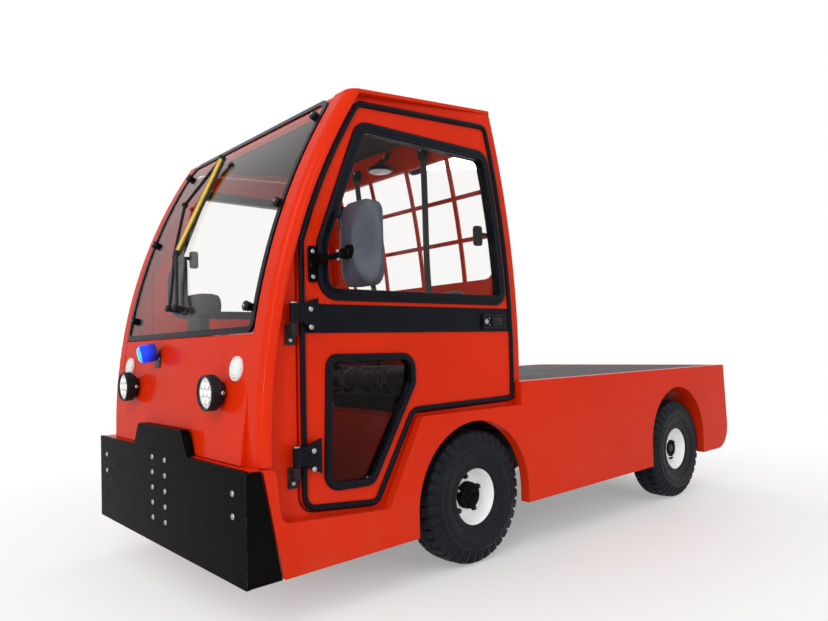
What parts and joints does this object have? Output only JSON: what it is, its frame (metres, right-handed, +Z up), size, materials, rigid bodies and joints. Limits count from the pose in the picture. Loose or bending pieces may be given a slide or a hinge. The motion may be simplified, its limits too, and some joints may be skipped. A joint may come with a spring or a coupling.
{
  "type": "electric tow tractor",
  "caption": "Electric tow tractor with a closed two-seat cab over the front axle and a flat load deck behind it",
  "frame": {"origin": "ground point under the middle of the bounding box", "axes": "+X forward, +Y to the left, +Z up"},
  "size_m": [3.366, 1.74, 1.885],
  "materials": {
    "body_paint": "gloss",
    "chassis_steel": "satin",
    "black_steel": "satin",
    "tyre": "matte",
    "rim_paint": "gloss",
    "glass": "gloss",
    "seal_rubber": "satin",
    "black_plastic": "satin",
    "seat_fabric": "matte",
    "lamp_black": "gloss",
    "white_lens": "gloss",
    "red_lens": "gloss",
    "blue_lamp": "gloss",
    "deck_mat": "matte",
    "battery_case": "satin"
  },
  "bodies": {
    "chassis": {"frame_rails": "chassis_steel", "cab_floor": "chassis_steel", "battery_block": "battery_case", "front_axle": "chassis_steel", "rear_axle": "chassis_steel", "leaf_springs": "chassis_steel", "side_panel_left": "body_paint", "side_panel_right": "body_paint", "front_apron": "body_paint", "front_cowl": "body_paint", "windscreen_frame": "body_paint", "cab_frame": "body_paint", "roof_panel": "body_paint", "rear_wall": "body_paint", "window_guard": "body_paint", "cab_glass": "glass", "windscreen_trim": "seal_rubber", "wiper": "black_plastic", "dashboard": "black_plastic", "driver_controls": "black_plastic", "seat_base": "black_plastic", "seats": "seat_fabric", "front_bumper": "black_steel", "work_lamps": "lamp_black", "marker_lamps": "white_lens", "blue_spotlight": "blue_lamp", "tail_lamps": "red_lens", "deck": "deck_mat", "rear_panel": "body_paint", "tow_hitch": "chassis_steel", "hinge_brackets": "black_steel"},
    "door_left_body": {"door_left": "body_paint", "door_left_glass": "glass", "door_left_trim": "seal_rubber", "mirror_left": "black_plastic"},
    "door_right_body": {"door_right": "body_paint", "door_right_glass": "glass", "door_right_trim": "seal_rubber", "mirror_right": "black_plastic"},
    "knuckle_left_body": {"knuckle_left": "chassis_steel"},
    "knuckle_right_body": {"knuckle_right": "chassis_steel"},
    "wheel_fl": {"tyre_fl": "tyre", "rim_fl": "rim_paint"},
    "wheel_fr": {"tyre_fr": "tyre", "rim_fr": "rim_paint"},
    "wheel_rl": {"tyre_rl": "tyre", "rim_rl": "rim_paint"},
    "wheel_rr": {"tyre_rr": "tyre", "rim_rr": "rim_paint"},
    "steering_wheel_body": {"steering_wheel": "black_plastic"}
  },
  "joints": [
    {"name": "steer_left", "type": "hinge", "parent": "chassis", "child": "knuckle_left_body", "pos_m": [0.647, 0.47, 0.27], "axis": [0, 0, 1], "range_deg": [-35, 35]},
    {"name": "steer_right", "type": "hinge", "parent": "chassis", "child": "knuckle_right_body", "pos_m": [0.647, -0.47, 0.27], "axis": [0, 0, 1], "range_deg": [-35, 35]},
    {"name": "spin_fl", "type": "hinge", "parent": "knuckle_left_body", "child": "wheel_fl", "pos_m": [0.647, 0.604, 0.27], "axis": [0, 1, 0], "continuous": true},
    {"name": "spin_fr", "type": "hinge", "parent": "knuckle_right_body", "child": "wheel_fr", "pos_m": [0.647, -0.604, 0.27], "axis": [0, 1, 0], "continuous": true},
    {"name": "spin_rl", "type": "hinge", "parent": "chassis", "child": "wheel_rl", "pos_m": [-0.993, 0.604, 0.27], "axis": [0, 1, 0], "continuous": true},
    {"name": "spin_rr", "type": "hinge", "parent": "chassis", "child": "wheel_rr", "pos_m": [-0.993, -0.604, 0.27], "axis": [0, 1, 0], "continuous": true},
    {"name": "steering", "type": "hinge", "parent": "chassis", "child": "steering_wheel_body", "pos_m": [1.195, 0.3, 0.974], "axis": [-0.3518, 0, 0.9361], "range_deg": [-525, 525]},
    {"name": "open_door_left", "type": "hinge", "parent": "chassis", "child": "door_left_body", "pos_m": [1.497, 0.69, 1], "axis": [0, 0, -1], "range_deg": [0, 80]},
    {"name": "open_door_right", "type": "hinge", "parent": "chassis", "child": "door_right_body", "pos_m": [1.497, -0.69, 1], "axis": [0, 0, 1], "range_deg": [0, 80]}
  ],
  "couplings": [
    {"joint": "steer_right", "follows": "steer_left", "ratio": 1},
    {"joint": "steering", "follows": "steer_left", "ratio": 15}
  ]
}
